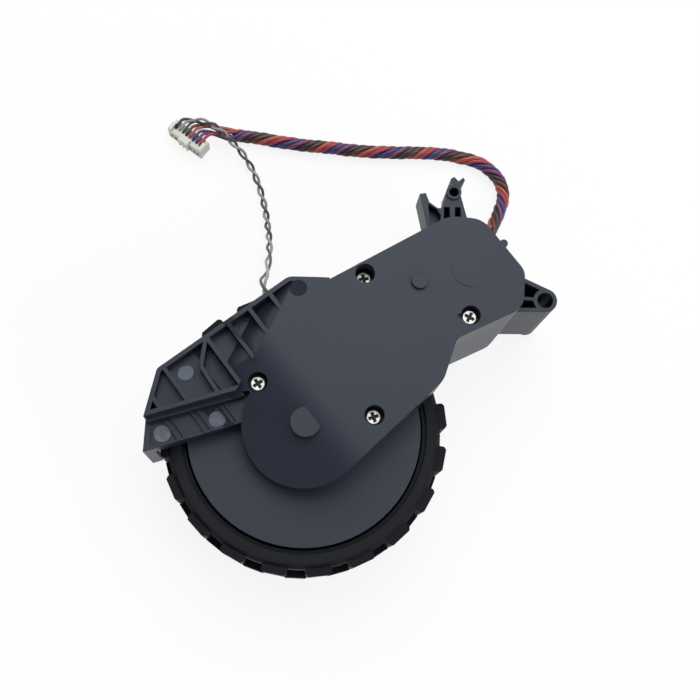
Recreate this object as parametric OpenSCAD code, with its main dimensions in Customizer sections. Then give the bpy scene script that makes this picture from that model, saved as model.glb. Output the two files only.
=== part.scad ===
// Drive wheel module of a robot vacuum cleaner: a geared swing arm with its wheel.
// The module lies on its outer side: the wheel axis is Z, the gearbox cover faces up (+Z),
// X and Y run along the arm, and the origin is the middle of the wheel's outer face.
// All lengths are millimetres and all angles are degrees.

/* [Wheel] */
// Outer radius of the tyre, over the tread blocks
tyre_r = 35; // [34:0.25:35.5]
// Height of the tread blocks above the tyre's belt
tread_h = 1.7; // [0.8:0.1:2.4]
// Tread blocks in each of the two rows
tread_count = 20; // [14:1:24]
// Radius of the rim's seat under the tyre
seat_r = 30.2; // [29.8:0.1:31]
// Thickness of the rim wall
rim_wall = 1.3; // [1:0.1:1.6]
// Thickness of the rim's outer face
face_t = 2.4; // [2:0.1:3]
// Ribs inside the rim
rib_count = 6; // [3:1:9]
// Radius of the snap-in hub cap
cap_r = 9; // [7:0.5:12]
// Thickness of the hub cap
cap_t = 1.2; // [0.8:0.1:1.4]

/* [Gear train] */
// Module of the motor pinion pair
m_fast = 0.5; // [0.48:0.01:0.52]
// Module of the second pair
m_second = 0.6; // [0.58:0.01:0.61]
// Module of the third pair
m_third = 0.7; // [0.68:0.01:0.71]
// Module of the output pair
m_slow = 0.8; // [0.78:0.01:0.81]
// Teeth of each pinion
pinion_teeth = 12; // [12:1:12]
// Teeth of the first gear's wheel
first_teeth = 33; // [32:1:33]
// Teeth of the second gear's wheel
second_teeth = 35; // [34:1:35]
// Teeth of the third gear's wheel
third_teeth = 30; // [29:1:30]
// Teeth of the output gear
output_teeth = 27; // [26:1:27]
// Face width of the output pair and of the motor pair
width_low = 2.6; // [2:0.1:2.8]
// Face width of the third pair
width_mid = 2.2; // [1.8:0.1:2.4]
// Face width of the second pair
width_high = 2; // [1.6:0.1:2.2]
// Radius of the gear pins
pin_r = 1; // [0.8:0.05:1.2]
// Radius of the wheel shaft
shaft_r = 2.5; // [2.2:0.1:2.7]
// Radius of the shaft's thinner upper end
journal_r = 1.6; // [1.4:0.05:1.7]
// Radial clearance of everything that turns on a pin or in a bearing
running_gap = 0.05; // [0.03:0.01:0.08]

/* [Motor] */
// Radius of the motor can
motor_r = 11.5; // [10.5:0.1:11.6]
// Length of the motor can
motor_len = 18.2; // [16:0.1:18.6]
// Radius of the encoder magnet
magnet_r = 4.5; // [3:0.1:6]

/* [Housing] */
// Height of the face that the gear floor and the dust disc share
disc_z = 26; // [25.9:0.05:26.2]
// Thickness of the dust disc
disc_t = 1.6; // [1.4:0.1:2]
// Thickness of the gear floor
floor_t = 1.4; // [1.3:0.05:1.5]
// Radius of the dust disc
disc_r = 28.4; // [27.5:0.1:28.5]
// Radius of the housing's round end, at the wheel axis
end_r = 15; // [14.8:0.1:15.5]
// Direction of the straight wall on the wheel side
side_angle = 43.5; // [43:0.25:44]

/* [Cover] */
// Height of the cover's flat face
top_z = 38; // [37.9:0.1:39]
// Wall of the cover
wall = 1.5; // [1.3:0.1:1.6]
// Thickness of the cover's face
face_wall = 1.6; // [1.4:0.05:1.7]
// Slope of the face where it falls away over the wheel
fall_angle = 20; // [16:1:21]
// Radius of the bend where the slope starts
fall_bend = 8; // [5:0.5:12]
// Radius of the boss on the wheel axis
boss_r = 3.6; // [3.4:0.1:4]

/* [Ribbed wing] */
// Tilt of the wing's rim below the flat face
wing_tilt = 4; // [3:0.5:5]
// Thickness of the ribs
rib_t = 1; // [0.7:0.1:1.3]
// Thickness of the wing's rim
rim_t = 1.1; // [0.8:0.1:1.5]
// Distance from rib to rib
rib_pitch = 6.1; // [6:0.05:6.2]
// Height of the deep pockets' floor
pocket_z = 33.4; // [33:0.1:34]
// Thickness of the wing's floor
wing_floor = 1.6; // [1.2:0.1:1.8]
// Height of the lower ledge's face
ledge_z = 31; // [30.5:0.1:31.4]
// Height of the lower end of the wing's skirt
skirt_z = 10; // [6:0.5:14]
// Thickness of the skirt
skirt_t = 1.4; // [1.2:0.1:2]

/* [Pivot and spring hooks] */
// Radius of the pivot bore
pivot_r = 2; // [1.5:0.05:2.2]
// Wall round the pivot bore
pivot_wall = 1.05; // [0.9:0.05:1.4]
// Top of the pivot arm
pivot_top = 25.5; // [22:0.5:25.5]
// Underside of the pivot arm
pivot_low = 2; // [1:0.5:4]
// Top of the spring hooks
hook_top = 20; // [18:0.5:22]
// Depth of the spring hooks
hook_depth = 9; // [6:0.5:12]

/* [Screws] */
// Radius of the screw heads
head_r = 2; // [1.8:0.05:2.1]
// Height of the screw heads
head_t = 1.3; // [1.1:0.1:1.4]
// Radius of the screws' thread
thread_r = 1; // [0.9:0.05:1.1]
// Length of the screws under the head
thread_len = 7; // [5:0.5:7]

/* [Drop switch] */
// Length of the switch
switch_len = 12.8; // [12:0.1:13]
// Width of the switch
switch_w = 6.5; // [6:0.1:6.6]
// Height of the switch
switch_h = 5; // [4:0.1:5.1]
// Travel of the switch's button
button_travel = 0.6; // [0.3:0.1:0.8]

/* [Cables] */
// Diameter of the motor loom, six wires twisted together
loom_d = 3.9; // [3.5:0.1:4]
// Diameter of the twisted pair of the drop switch
pair_d = 2.3; // [2:0.1:2.4]
// Length of the plug
plug_len = 11.4; // [11:0.1:13]

/* [Hidden] */
$fn = 64;

cover_colour = [0.28, 0.30, 0.34];
rubber_colour = [0.17, 0.17, 0.19];
steel_colour = [0.75, 0.75, 0.77];
white_colour = [0.86, 0.87, 0.82];
black_colour = [0.06, 0.06, 0.07];
nylon_colour = [0.88, 0.86, 0.78];

// Clearance between pieces that pass each other, and between pieces that only fit together
gap = 0.3;
fit_gap = 0.1;
// Overshoot of a cutting solid beyond the face it opens
over = 1;

function unit(v) = v / norm(v);
function ray(length, angle) = length * [cos(angle), sin(angle)];
function left_of(v) = [-v[1], v[0]];
function cross2(a, b) = a[0] * b[1] - a[1] * b[0];

// Corner points moved inwards by d, for a counterclockwise outline
function inset_pts(p, d) = [for (i = [0 : len(p) - 1])
    let (a = p[(i + len(p) - 1) % len(p)], b = p[i], c = p[(i + 1) % len(p)],
        n1 = left_of(unit(b - a)), n2 = left_of(unit(c - b)))
    b + d * (n1 + n2) / (1 + n1 * n2)];

// Points of a corner b, rounded with radius r between its neighbours a and c
function round_corner(a, b, c, r, steps = 5) =
    let (u = unit(a - b), v = unit(c - b), half = acos(u * v) / 2,
        centre = b + unit(u + v) * r / sin(half), start = b + u * r / tan(half) - centre,
        turn = (cross2(u, v) < 0 ? 1 : -1) * (180 - 2 * half),
        from = atan2(start[1], start[0]))
    [for (k = [0 : steps]) centre + ray(r, from + turn * k / steps)];

function round_pts(p, r) = [for (i = [0 : len(p) - 1])
    let (a = p[(i + len(p) - 1) % len(p)], b = p[i], c = p[(i + 1) % len(p)])
    each (r[i] <= 0 ? [b] : round_corner(a, b, c, r[i]))];

// Outline with rounded corners, moved inwards by d: hollow corners grow, outer ones shrink
module rounded_outline(p, r, d = 0) {
    radii = [for (i = [0 : len(p) - 1])
        let (a = p[(i + len(p) - 1) % len(p)], b = p[i], c = p[(i + 1) % len(p)],
            outer = cross2(b - a, c - b) > 0)
        r[i] == 0 ? 0 : max(0.1, outer ? r[i] - d : r[i] + d)];
    polygon(round_pts(inset_pts(p, d), radii));
}

// Centre distances of the gear pairs
reach_slow = (pinion_teeth + output_teeth) * m_slow / 2;
reach_third = (pinion_teeth + third_teeth) * m_third / 2;
reach_second = (pinion_teeth + second_teeth) * m_second / 2;
reach_fast = (pinion_teeth + first_teeth) * m_fast / 2;
// Direction from each axis of the train to the next, from the wheel to the motor
angle_slow = 61;
angle_third = 38.9;
angle_second = 54.8;
angle_fast = 7.7;
third_at = ray(reach_slow, angle_slow);
second_at = third_at + ray(reach_third, angle_third);
first_at = second_at + ray(reach_second, angle_second);
motor_at = first_at + ray(reach_fast, angle_fast);

// Turn of each gear about its axis, so that its teeth stand in the gaps of the next
function meshed(turn, teeth, angle, next) =
    angle + 180 - (0.5 - (angle - turn) * teeth / 360) * 360 / next;
output_turn = 0;
third_turn = meshed(output_turn, output_teeth, angle_slow, pinion_teeth);
second_turn = meshed(third_turn, third_teeth, angle_third, pinion_teeth);
first_turn = meshed(second_turn, second_teeth, angle_second, pinion_teeth);
motor_turn = meshed(first_turn, first_teeth, angle_fast, pinion_teeth);

// Heights in the gear chamber
floor_z = disc_z + floor_t;
chamber_top = top_z - face_wall;
low_z = floor_z + 2 * gap;
mid_z = low_z + width_low + 0.5;
high_z = mid_z + width_mid + 0.5;
hub_low = floor_z + gap;
hub_top = chamber_top - gap;
pin_low = disc_z + 0.2;
pin_top = chamber_top + 0.8;
hub_r = pin_r + 1.2;

// Outline of the gear chamber, counterclockwise from the wheel side
side_start = end_r * [sin(side_angle), -cos(side_angle)];
notch = [5.5, 34.6];
tangent_angle = atan2(notch[1], notch[0]) + acos(end_r / norm(notch));
lobe_pts = [side_start, side_start + ray(30.6, side_angle), motor_at + [-2.3, -15.5],
    motor_at + [14, -7.7], motor_at + [14.7, 1.6], motor_at + [4.6, 14.7],
    motor_at + [-3.7, 15.3], notch, ray(end_r, tangent_angle)];
lobe_radii = [0, 6, 3, 5, 4, 6, 8, 0, 0];

module lobe(d = 0) {
    circle(r = end_r - d, $fn = 96);
    rounded_outline(lobe_pts, lobe_radii, d);
}

// Wheel heights
tyre_low = 0.8;
tyre_top = disc_z - 0.4;
rim_top = tyre_top - 0.8;
wheel_clear_r = tyre_r + 0.9;

// Screws: place, height of the head's top, and depth below the face comes from that height
screw_at = [[14, 36.2], [39.4, 26.2], [16.1, 1.7], [-11.3, 9.7]];
screw_top = [top_z - 5.1, top_z - 2.2, top_z - 3.2, top_z - 4.4];
cup_r = head_r + 0.4;
cup_wall = 0.5;
cup_floor = 1.2;
post_r = thread_r + 1.1;

// The line where the smooth cover ends and the wing's pockets start
wing_line_at = [-6.6, 26.6];
wing_line_angle = 153.4;
// The wing's rim, seen along its straight outer edge: x along the edge, y inwards
edge_at = [-4.4, 35.2];
edge_angle = 216.6;
edge_len = 38;
wing_pts = [[-7.8, 6.1], [0, 0], [edge_len, 0], [47, 7.6], [24.9, 15.8], [19, 19.6], [-4.5, 9.7]];
wing_radii = [0, 3, 1.5, 0, 0, 0, 0];
ledge_pts = [[47, 7.6], [51.8, 13.5], [28.9, 21.5], [27, 23.7], [19, 19.6], [24.9, 15.8]];
outer_pts = [[-7.8, 6.1], [0, 0], [edge_len, 0], [47, 7.6], [51.8, 13.5], [28.9, 21.5],
    [24.9, 15.8], [19, 19.6], [-4.5, 9.7]];
// Stations of the ribs, counted in rib pitches from the wing's upper corner
upper_ribs = [1, 2, 3, 4, 6, 7];
ledge_ribs = [5, 6, 7];
// Where the bent rib starts, turns and ends
bent_rib = [[4, 0.5], [4.82, 5.7], [4.9, 14.5]];
// Ejector marks on the wing: place along and in from the edge
ejector_marks = [[-0.5, 4], [14.9, 4], [33, 4.5], [48.5, 13.2], [33.3, 17.3]];
ejector_r = 2.1;
ejector_depth = 0.15;

module on_edge() {
    translate(edge_at) rotate(edge_angle) children();
}

// One tooth outline point at radius r, on the flank given by side
function flank_angle(r, base_r, half) =
    let (a = acos(min(1, base_r / max(r, base_r)))) half - (tan(a) * 180 / PI - a);

// Spur gear outline with involute flanks; tip is the addendum in modules
module gear_outline(m, teeth, tip = 0.8, backlash = 0.08) {
    pitch_r = m * teeth / 2;
    base_r = pitch_r * cos(20);
    root_r = pitch_r - 1.25 * m;
    foot_r = max(base_r, root_r + 0.02);
    tip_r = pitch_r + tip * m;
    half = 90 / teeth - backlash * 90 / (PI * pitch_r) + tan(20) * 180 / PI - 20;
    radii = [root_r, foot_r, (foot_r + tip_r) / 2, tip_r];
    polygon([for (t = [0 : teeth - 1]) each concat(
        [for (i = [0 : 3]) ray(radii[i], t * 360 / teeth - flank_angle(radii[i], base_r, half))],
        [for (i = [3 : -1 : 0]) ray(radii[i], t * 360 / teeth + flank_angle(radii[i], base_r, half))])]);
}

module gear_ring(m, teeth, tip, turn, z, width) {
    translate([0, 0, z]) rotate(turn) linear_extrude(width) gear_outline(m, teeth, tip);
}

// Wheel and pinion in one piece, on a pin: the wheel at wheel_z, the pinion at small_z
module cluster_gear(at, turn, m_wheel, teeth, wheel_z, wheel_w, m_small, small_z, small_w) {
    translate(at) difference() {
        union() {
            gear_ring(m_wheel, teeth, 0.8, turn, wheel_z, wheel_w);
            gear_ring(m_small, pinion_teeth, 1, turn, small_z, small_w);
            translate([0, 0, hub_low]) cylinder(r = hub_r, h = hub_top - hub_low);
        }
        translate([0, 0, hub_low - over])
            cylinder(r = pin_r + running_gap, h = hub_top - hub_low + 2 * over);
    }
}

module first_gear() color(nylon_colour)
    cluster_gear(first_at, first_turn, m_fast, first_teeth, low_z, width_low,
        m_second, low_z + width_low, high_z + width_high - low_z - width_low);

module second_gear() color(nylon_colour)
    cluster_gear(second_at, second_turn, m_second, second_teeth, high_z, width_high,
        m_third, mid_z - gap, high_z - mid_z + gap);

module third_gear() color(nylon_colour)
    cluster_gear(third_at, third_turn, m_third, third_teeth, mid_z, width_mid,
        m_slow, low_z - gap, mid_z - low_z + gap);

output_hub_r = shaft_r + 1.6;
bush_low = low_z + width_low + 1;
bush_r = journal_r + 1.2;
bush_h = 4;
carrier_top_r = bush_r + 1;

module output_gear() color(nylon_colour) difference() {
    union() {
        gear_ring(m_slow, output_teeth, 0.8, output_turn, low_z, width_low);
        translate([0, 0, hub_low]) cylinder(r = output_hub_r, h = bush_low - gap - hub_low);
    }
    translate([0, 0, hub_low - over]) cylinder(r = shaft_r, h = bush_low - hub_low + over);
}

module gear_pins() color(steel_colour)
    for (at = [first_at, second_at, third_at])
        translate([at[0], at[1], pin_low]) cylinder(r = pin_r, h = pin_top - pin_low);

// Motor: the can hangs under the gear floor, its shaft carries the pinion and the magnet
motor_top = disc_z - 1.4;
motor_low = motor_top - motor_len;
motor_boss_r = 3;
end_cap_t = 1.2;
shaft_thin_r = 1;
magnet_h = 1.4;
magnet_low = motor_low - end_cap_t - 0.4 - magnet_h;
board_t = 1;
board_low = magnet_low - 0.5 - board_t;
bottom_cap_t = 1.4;
motor_screw_angle = 130;
motor_screw_reach = 8;
small_head_r = 1.7;
small_head_t = 1.2;

module at_motor(z = 0) translate([motor_at[0], motor_at[1], z]) children();

module at_motor_screws() for (side = [0, 180])
    at_motor() translate(ray(motor_screw_reach, motor_screw_angle + side)) children();

module motor_can() color(steel_colour) difference() {
    at_motor(motor_low) {
        cylinder(r = motor_r, h = motor_len);
        cylinder(r = motor_boss_r, h = motor_len + disc_z - motor_top);
    }
    at_motor(motor_low - over)
        cylinder(r = shaft_thin_r + running_gap, h = motor_len + 4 * over);
    at_motor_screws() translate([0, 0, motor_top - 3]) cylinder(r = thread_r, h = 3 + over);
}

module motor_end_cap() color(black_colour) difference() {
    at_motor(motor_low - end_cap_t) cylinder(r = motor_r - 0.3, h = end_cap_t);
    at_motor(motor_low - end_cap_t - over)
        cylinder(r = shaft_thin_r + running_gap, h = end_cap_t + 2 * over);
    motor_terminals();
}

terminal = [0.6, 2.4, 2.2];
terminal_reach = 8;

module motor_terminals() color([0.80, 0.66, 0.32])
    for (side = [0, 180])
        at_motor() rotate(motor_screw_angle + 90 + side)
            translate([terminal_reach, -terminal[1] / 2, board_low + board_t]) cube([terminal[0],
                terminal[1], motor_low - board_low - board_t]);

module motor_screws() color(steel_colour) at_motor_screws() {
    translate([0, 0, floor_z - small_head_t]) cylinder(r = small_head_r, h = small_head_t);
    translate([0, 0, motor_top - 3]) cylinder(r = thread_r, h = floor_z - motor_top + 2);
}

module encoder_board() color([0.10, 0.32, 0.20]) at_motor(board_low) {
    cylinder(r = motor_r - 0.2, h = board_t);
    // The two pick-ups beside the magnet
    for (turn = [-30, 30]) rotate(turn) translate([magnet_r + 1, -1.5, 0]) cube([1.2, 3, 2.4]);
}

module motor_shaft() color(steel_colour) at_motor(magnet_low)
    cylinder(r = shaft_thin_r, h = low_z + width_low + 0.6 - magnet_low);

module motor_pinion() color([0.80, 0.66, 0.32]) at_motor() difference() {
    gear_ring(m_fast, pinion_teeth, 1, motor_turn, floor_z + gap, low_z + width_low - floor_z);
    translate([0, 0, floor_z]) cylinder(r = shaft_thin_r, h = 6);
}

module encoder_magnet() color(black_colour) at_motor(magnet_low) difference() {
    cylinder(r = magnet_r, h = magnet_h);
    translate([0, 0, -over]) cylinder(r = shaft_thin_r, h = magnet_h + 2 * over);
}

// Wheel
shaft_low = 4.4;
bearing_r = shaft_r + 4;
bearing_w = 4;
bearing_low = disc_z - disc_t - 2 - bearing_w;
carrier_r = bearing_r + 2.5;
hub_boss_r = shaft_r + 3;
wheel_screw_r = 1.5;
screw_recess_r = 5;
belt_r = tyre_r - tread_h;

module wheel_shaft() color(steel_colour) difference() {
    union() {
        translate([0, 0, shaft_low]) cylinder(r = shaft_r, h = bush_low - gap - shaft_low);
        translate([0, 0, shaft_low]) cylinder(r = journal_r, h = bush_low + bush_h - shaft_low);
    }
    translate([0, 0, shaft_low - over]) cylinder(r = wheel_screw_r, h = 8 + over);
}

module wheel_bearing() color(steel_colour) translate([0, 0, bearing_low]) difference() {
    cylinder(r = bearing_r, h = bearing_w);
    translate([0, 0, -over]) cylinder(r = shaft_r + running_gap, h = bearing_w + 2 * over);
    // Grooves between the races and the shield
    for (z = [-over, bearing_w - 0.3]) translate([0, 0, z]) difference() {
        cylinder(r = bearing_r - 1, h = 0.3 + over);
        translate([0, 0, -over]) cylinder(r = shaft_r + 1, h = 4 * over);
    }
}

module shaft_bush() color([0.70, 0.55, 0.36]) translate([0, 0, bush_low]) difference() {
    cylinder(r = bush_r, h = bush_h);
    translate([0, 0, -over]) cylinder(r = journal_r + running_gap, h = bush_h + 2 * over);
}

module wheel_rim() color(black_colour) difference() {
    union() {
        rotate_extrude($fn = 120) polygon([[shaft_r, shaft_low - 0.8], [shaft_r, bearing_low - 0.5],
            [hub_boss_r, bearing_low - 0.5], [hub_boss_r, face_t], [seat_r - rim_wall, face_t],
            [seat_r - rim_wall, rim_top], [seat_r, rim_top], [seat_r, 1.4], [seat_r - 1.4, 0],
            [cap_r, 0], [cap_r, cap_t], [screw_recess_r, cap_t],
            [screw_recess_r, shaft_low - 0.8]]);
        for (k = [0 : rib_count - 1]) rotate(k * 360 / rib_count)
            translate([hub_boss_r - 0.5, -0.7, face_t - 0.2])
                cube([seat_r - rim_wall - hub_boss_r + 0.9, 1.4, 7]);
    }
    // Ring groove and lightening dimples of the outer face
    translate([0, 0, -over]) difference() {
        cylinder(r = seat_r - 3.4, h = over + 0.8);
        translate([0, 0, -over]) cylinder(r = cap_r + 2.6, h = 4 * over);
    }
}

// Tread block between two heights, with its outer corners cut back
module tread_block(low, high) {
    root = seat_r + 1.3;
    half = 3.15;
    translate([0, 0, low]) linear_extrude(high - low) polygon([[root, -half], [tyre_r - 0.6, -half],
        [tyre_r, 0.6 - half], [tyre_r, half - 0.6], [tyre_r - 0.6, half], [root, half]]);
}

// Blocks of the two rows stand in each other's gaps
tyre_mid = (tyre_low + tyre_top) / 2;
module wheel_tyre() color(rubber_colour) {
    rotate_extrude($fn = 120) polygon([[seat_r, 1.6], [belt_r - 1.2, tyre_low],
        [belt_r, tyre_low + 1], [belt_r, tyre_top - 1], [belt_r - 0.9, tyre_top],
        [seat_r - 0.3, tyre_top], [seat_r - 0.3, rim_top], [seat_r, rim_top]]);
    for (k = [0 : tread_count - 1]) rotate((k - 0.64) * 360 / tread_count)
        tread_block(tyre_mid + 0.2, tyre_top - 0.8);
    for (k = [0 : tread_count - 1]) rotate((k - 0.14) * 360 / tread_count)
        tread_block(tyre_low + 0.8, tyre_mid - 0.2);
}

module wheel_screw() color(steel_colour) difference() {
    union() {
        translate([0, 0, shaft_low - 0.8 - 1.6]) cylinder(r = 3, h = 1.6);
        translate([0, 0, shaft_low - 0.8 - 0.1]) cylinder(r = wheel_screw_r, h = 7);
    }
    translate([0, 0, shaft_low - 0.8 - 1.6 - over]) cross_slot(1.6, 0.9 + over);
}

module hub_cap() color(cover_colour) difference() {
    cylinder(r = cap_r - fit_gap, h = cap_t);
    translate([0, 0, cap_t - 0.4]) cylinder(r = cap_r - 2.5, h = over);
}

// Cross recess of a screw head, with arms of half length reach
module cross_slot(reach, depth) linear_extrude(depth) for (turn = [0, 90]) rotate(turn)
    square([2 * reach, 0.75], center = true);

// Screws with low cylindrical heads; each is turned a little differently
screw_turns = [10, 62, 20, 35];
module cover_screws() color(steel_colour) for (i = [0 : len(screw_at) - 1])
    translate([screw_at[i][0], screw_at[i][1], screw_top[i] - head_t]) difference() {
        union() {
            cylinder(r = head_r, h = head_t - 0.4);
            translate([0, 0, head_t - 0.4]) cylinder(r1 = head_r, r2 = head_r - 0.4, h = 0.4);
            translate([0, 0, -thread_len]) cylinder(r = thread_r, h = thread_len + 0.1);
        }
        translate([0, 0, head_t - 1]) rotate(screw_turns[i]) cross_slot(head_r * 0.62, 1 + over);
    }

// Solid above the falling face: flat, then a bend, then the slope, square to the arm
fall_direction = 39;
fall_start = 4.7;
module above_fall() {
    bend = [for (a = [0 : 4 : fall_angle])
        [fall_start - fall_bend * sin(a), top_z - fall_bend * (1 - cos(a))]];
    last = bend[len(bend) - 1];
    rotate(fall_direction) rotate([90, 0, 0]) translate([0, 0, -60]) linear_extrude(120)
        polygon(concat([[fall_start, top_z + 30]], bend,
            [[last[0] - 60, last[1] - 60 * tan(fall_angle)], [last[0] - 60, top_z + 30]]));
}

// Everything on the smooth side of the line where the pockets start
module smooth_side() {
    translate(wing_line_at) rotate(wing_line_angle) translate([-150, -75, 0]) cube([150, 150, 60]);
}

// Everything on the other side of that line
module beyond_line() {
    translate(wing_line_at) rotate(wing_line_angle) translate([0, -75, 0]) cube([150, 150, 60]);
}

// Solid above the wing's tilted rim
module above_wing() {
    translate([-2.5, 20, top_z]) rotate(160) rotate([0, wing_tilt, 0]) translate([0, -80, 0])
        cube([90, 160, 30]);
}

module wing_upper() {
    translate([0, 0, pocket_z - wing_floor])
        linear_extrude(top_z - pocket_z + wing_floor)
            on_edge() rounded_outline(wing_pts, wing_radii);
}

// Plan of the open cells between the ribs, on the upper level
module wing_cells() {
    difference() {
        on_edge() rounded_outline(wing_pts, wing_radii, rim_t);
        on_edge() for (k = upper_ribs) translate([k * rib_pitch - rib_t / 2, -1])
            square([rib_t, 30]);
        on_edge() for (i = [0, 1]) strip(bent_at(i), bent_at(i + 1), rib_t);
    }
}

function bent_at(i) = [bent_rib[i][0] * rib_pitch, bent_rib[i][1]];

// Straight strip of width w from a to b
module strip(a, b, w) {
    side = left_of(unit(b - a)) * w / 2;
    polygon([a - side, b - side, b + side, a + side]);
}

// Space of the pockets: ramped floors on the upper four cells, flat floors beyond
ramp_len = 5.6;
ramp_top = 37.4;
module pocket_space() {
    intersection() {
        translate(wing_line_at) rotate(wing_line_angle) rotate([90, 0, 0])
            translate([0, 0, -60]) linear_extrude(120) polygon([[0, ramp_top], [ramp_len, pocket_z],
                [70, pocket_z], [70, top_z + 20], [0, top_z + 20]]);
        linear_extrude(top_z + 10) on_edge() translate([-20, -10])
            square([20 + 4 * rib_pitch, 60]);
    }
    intersection() {
        translate([0, 0, pocket_z]) linear_extrude(20) on_edge()
            translate([4 * rib_pitch, -10]) square([40, 60]);
        beyond_line();
    }
}

// The two closed pockets of the wing are deeper
module deep_pockets() translate([0, 0, pocket_z - 1]) linear_extrude(10) intersection() {
    wing_cells();
    union() {
        on_edge() polygon([[4 * rib_pitch, 0], bent_at(0), bent_at(1), bent_at(2),
            [4 * rib_pitch, 20]]);
        on_edge() translate([7 * rib_pitch, 0]) square([8, 12]);
    }
}

module ledge() {
    translate([0, 0, ledge_z - wing_floor]) linear_extrude(wing_floor)
        on_edge() polygon(ledge_pts);
    // Step wall from the ledge up to the wing's rim
    translate([0, 0, ledge_z - 0.1]) linear_extrude(pocket_z - ledge_z + 0.2) on_edge()
        strip([47, 7.6 + rim_t / 2], [24.9, 15.8 + rim_t / 2], rim_t);
    // Thin rim and lip along the ledge's free edge
    difference() {
        translate([0, 0, disc_z + gap]) linear_extrude(ledge_z + 0.5 - disc_z - gap) on_edge()
            strip([51.5, 13.25], [28.9, 21.15], rim_t * 0.65);
        cylinder(r = wheel_clear_r, h = tyre_top + gap);
    }
    for (k = ledge_ribs) translate([0, 0, ledge_z - 0.1]) linear_extrude(0.8) intersection() {
        on_edge() polygon(ledge_pts);
        on_edge() for (side = [-1, 1]) translate([k * rib_pitch + side * 0.75 - 0.25, 0])
            square([0.5, 30]);
    }
}

// Skirt round the wheel under the wing's outer end
module skirt() translate([0, 0, skirt_z]) linear_extrude(ledge_z - skirt_z + 0.5) difference() {
    intersection() {
        on_edge() polygon(outer_pts);
        on_edge() translate([edge_len - 2, -1]) square([16, 15.6]);
    }
    on_edge() polygon(inset_pts(outer_pts, skirt_t));
    circle(r = wheel_clear_r, $fn = 120);
}

module gearbox_cover() color(cover_colour) difference() {
    union() {
        difference() {
            union() {
                translate([0, 0, floor_z]) linear_extrude(top_z - floor_z) lobe();
                wing_upper();
                // Walls of the screw cups, which bulge out where a screw is near the edge
                for (i = [0 : len(screw_at) - 1])
                    translate([screw_at[i][0], screw_at[i][1], screw_top[i] - head_t - cup_floor])
                        cylinder(r = cup_r + cup_wall,
                            h = top_z - screw_top[i] + head_t + cup_floor);
                translate([motor_at[0] + 9.9, motor_at[1] + 8.9, floor_z])
                    cylinder(r = 1, h = top_z - 1 - floor_z);
            }
            intersection() {
                above_fall();
                smooth_side();
            }
            above_wing();
            intersection() {
                union() {
                    pocket_space();
                    intersection() {
                        above_fall();
                        translate([-60, -60, pocket_z]) cube([120, 120, 20]);
                        beyond_line();
                    }
                }
                linear_extrude(top_z + 10) wing_cells();
            }
            deep_pockets();
        }
        ledge();
        skirt();
        // Flat boss on the wheel axis, and the pad over the first gear's pin
        translate([0, 0, bush_low]) cylinder(r = boss_r, h = top_z - 0.2 - bush_low);
        translate([first_at[0], first_at[1], top_z - 0.5]) cylinder(r = 2, h = 1.4);
        // Bulge over the motor's shaft
        translate([motor_at[0] + 1.2, motor_at[1] + 1.8, top_z - 0.5]) cylinder(r = 4.4, h = 0.64);
    }
    // Gear chamber, with the bush carrier and the screw cups left standing
    difference() {
        intersection() {
            translate([0, 0, floor_z - over])
                linear_extrude(chamber_top - floor_z + over) lobe(wall);
            translate([0, 0, -face_wall]) under_fall();
        }
        translate([0, 0, bush_low]) cylinder(r = carrier_top_r, h = 20);
        for (i = [0 : len(screw_at) - 1])
            translate([screw_at[i][0], screw_at[i][1], screw_top[i] - head_t - cup_floor])
                cylinder(r = cup_r + cup_wall, h = 20);
    }
    translate([0, 0, bush_low - over]) cylinder(r = bush_r, h = bush_h + over);
    translate([0, 0, bush_low]) cylinder(r = journal_r + 0.2, h = bush_h + 0.3);
    for (i = [0 : len(screw_at) - 1]) translate([screw_at[i][0], screw_at[i][1], 0]) {
        translate([0, 0, screw_top[i] - head_t]) cylinder(r = cup_r, h = 20);
        translate([0, 0, floor_z]) cylinder(r = thread_r + 0.2, h = screw_top[i] - floor_z);
        translate([0, 0, floor_z - over]) cylinder(r = post_r + fit_gap,
            h = screw_top[i] - head_t - cup_floor - floor_z + over);
    }
    // Flow mark beside the second screw
    translate([screw_at[1][0] - 2.7, screw_at[1][1] - 0.3, top_z - 1]) cylinder(r = 0.6, h = 3);
    for (at = [first_at, second_at, third_at])
        translate([at[0], at[1], chamber_top - over]) cylinder(r = pin_r, h = over + 0.8);
    on_edge_marks();
}

// Everything below the falling face, moved down with the chamber
module under_fall() difference() {
    translate([-60, -60, 0]) cube([140, 140, top_z]);
    above_fall();
}

module on_edge_marks() for (i = [0 : len(ejector_marks) - 1]) {
    z = i > 2 ? ledge_z : pocket_z;
    translate([edge_at[0], edge_at[1], z - ejector_depth]) rotate(edge_angle)
        translate(ejector_marks[i]) cylinder(r = ejector_r, h = ejector_depth + 0.02);
}

// Pivot arm
pivot_at = motor_at + [22.5, -2.2];
boss_out_r = pivot_r + pivot_wall;
arm_wall = 1.1;
// The eye stands out below the arm
pivot_step = 1;
arm_pts = [motor_at + [8, -5.4], pivot_at + [0, -boss_out_r], pivot_at + [1.3, 2.75],
    motor_at + [10.5, 6.8]];

module arm_plan(d = 0) polygon(inset_pts(arm_pts, d));

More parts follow.
